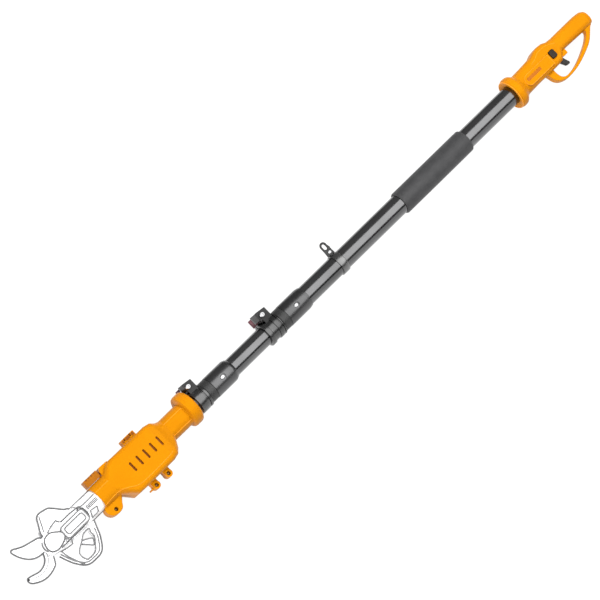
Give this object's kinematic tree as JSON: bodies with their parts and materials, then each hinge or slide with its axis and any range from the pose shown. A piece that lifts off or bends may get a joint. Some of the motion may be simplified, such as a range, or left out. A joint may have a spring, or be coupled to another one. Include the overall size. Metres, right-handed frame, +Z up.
{
  "type": "telescoping pole pruning saw",
  "caption": "Long black telescoping pole with an orange trigger handle and hand loop, lever clamps, and an orange head holder carrying a hook-jaw pruning shear.",
  "frame": {"origin": "centre of the flat lower face of the head holder, straight below the pole's centreline; the object lies on its side on this face and on the handle", "axes": "+X along the pole from the handle towards the cutting jaws; +Y towards the side of the trigger, hand loop and fixed hook jaw; +Z up"},
  "size_m": [1.4109, 0.1168, 0.066],
  "materials": {
    "orange_shell": "satin moulded plastic, warm orange",
    "black_plastic": "matt black moulded plastic",
    "collar_black": "satin black moulded plastic",
    "clamp_black": "satin black coated casting",
    "lever_red": "dull dark red moulded plastic",
    "tube_black": "gloss black coated tube",
    "foam": "closed-cell foam sleeve, dark grey, matt",
    "bracket_steel": "black coated steel strip, worn bright at the rim",
    "bright_steel": "bright plated steel",
    "screw_dark": "dark plated steel",
    "blade_steel": "ground bright steel",
    "motor_steel": "plain drawn steel can",
    "shear_pale": "near-white moulded plastic",
    "shear_grey": "pale grey moulded plastic"
  },
  "bodies": {
    "pole_handle": {"handle_shell_top": "orange_shell", "handle_shell_bottom": "orange_shell", "trigger_pin": "screw_dark", "trigger_switch": "black_plastic", "handle_screw_1": "screw_dark", "handle_screw_2": "screw_dark", "handle_screw_3": "screw_dark", "handle_screw_4": "screw_dark", "outer_tube": "tube_black", "foam_grip": "foam", "strap_bracket": "bracket_steel", "strap_rivet": "bright_steel", "collar_1": "collar_black", "collar_1_screw": "bright_steel", "clamp_1_body": "clamp_black", "clamp_1_bolt": "bright_steel", "clamp_1_pin": "screw_dark"},
    "middle_section": {"middle_tube": "tube_black", "middle_tube_plug": "black_plastic", "collar_2": "collar_black", "collar_2_screw": "bright_steel", "clamp_2_body": "clamp_black", "clamp_2_bolt": "bright_steel", "clamp_2_pin": "screw_dark"},
    "head": {"holder_shell_top": "orange_shell", "holder_shell_bottom": "orange_shell", "holder_catch": "black_plastic", "inner_tube": "tube_black", "inner_tube_plug": "black_plastic", "shear_body_top": "shear_pale", "shear_body_bottom": "shear_pale", "finger_guard": "shear_pale", "gear_case_cover": "shear_pale", "pivot_cover": "shear_pale", "hook_jaw": "blade_steel", "pivot_bolt": "bright_steel", "drive_motor": "motor_steel", "battery_cell_pack": "black_plastic", "holder_screw_1": "screw_dark", "shear_screw_1": "bright_steel", "holder_screw_2": "screw_dark", "shear_screw_2": "bright_steel", "holder_screw_3": "screw_dark", "shear_screw_3": "bright_steel", "shear_trigger_pin": "screw_dark", "holder_hinge_pin": "screw_dark"},
    "trigger": {"trigger": "black_plastic"},
    "lock_button": {"lock_button": "black_plastic"},
    "clamp_1_lever": {"clamp_1_lever": "lever_red"},
    "clamp_2_lever": {"clamp_2_lever": "lever_red"},
    "shear_trigger": {"shear_trigger": "shear_grey"},
    "cutting_blade": {"cutting_blade": "blade_steel"}
  },
  "joints": [
    {"name": "middle_slide", "type": "slide", "parent": "pole_handle", "child": "middle_section", "axis": [1, 0, 0], "range_m": [-0.075, 0.48]},
    {"name": "head_slide", "type": "slide", "parent": "middle_section", "child": "head", "axis": [1, 0, 0], "range_m": [0, 0.5]},
    {"name": "clamp_1_lever_pivot", "type": "hinge", "parent": "pole_handle", "child": "clamp_1_lever", "pos_m": [-0.3185, -0.0282, 0.0118], "axis": [0, 1, 0], "range_deg": [0, 110]},
    {"name": "clamp_2_lever_pivot", "type": "hinge", "parent": "middle_section", "child": "clamp_2_lever", "pos_m": [-0.1385, -0.0282, 0.0118], "axis": [0, 1, 0], "range_deg": [0, 110]},
    {"name": "trigger_pivot", "type": "hinge", "parent": "pole_handle", "child": "trigger", "pos_m": [-1.039, 0, 0.033], "axis": [0, 0, 1], "range_deg": [0, 12], "stiffness_Nm_per_rad": 0.2, "springref_deg": -5.73},
    {"name": "lock_button_press", "type": "slide", "parent": "pole_handle", "child": "lock_button", "axis": [0, 0, -1], "range_m": [0, 0.0025], "stiffness_N_per_m": 300, "springref_m": -0.004},
    {"name": "blade_pivot", "type": "hinge", "parent": "head", "child": "cutting_blade", "pos_m": [0.206, 0, 0.033], "axis": [0, 0, 1], "range_deg": [0, 38]},
    {"name": "shear_trigger_pivot", "type": "hinge", "parent": "head", "child": "shear_trigger", "pos_m": [0.177, 0.029, 0.033], "axis": [0, 0, 1], "range_deg": [0, 8], "stiffness_Nm_per_rad": 0.15, "springref_deg": -5.73}
  ],
  "couplings": [
    {"joint": "trigger_pivot", "follows": "blade_pivot", "ratio": 0.31}
  ]
}
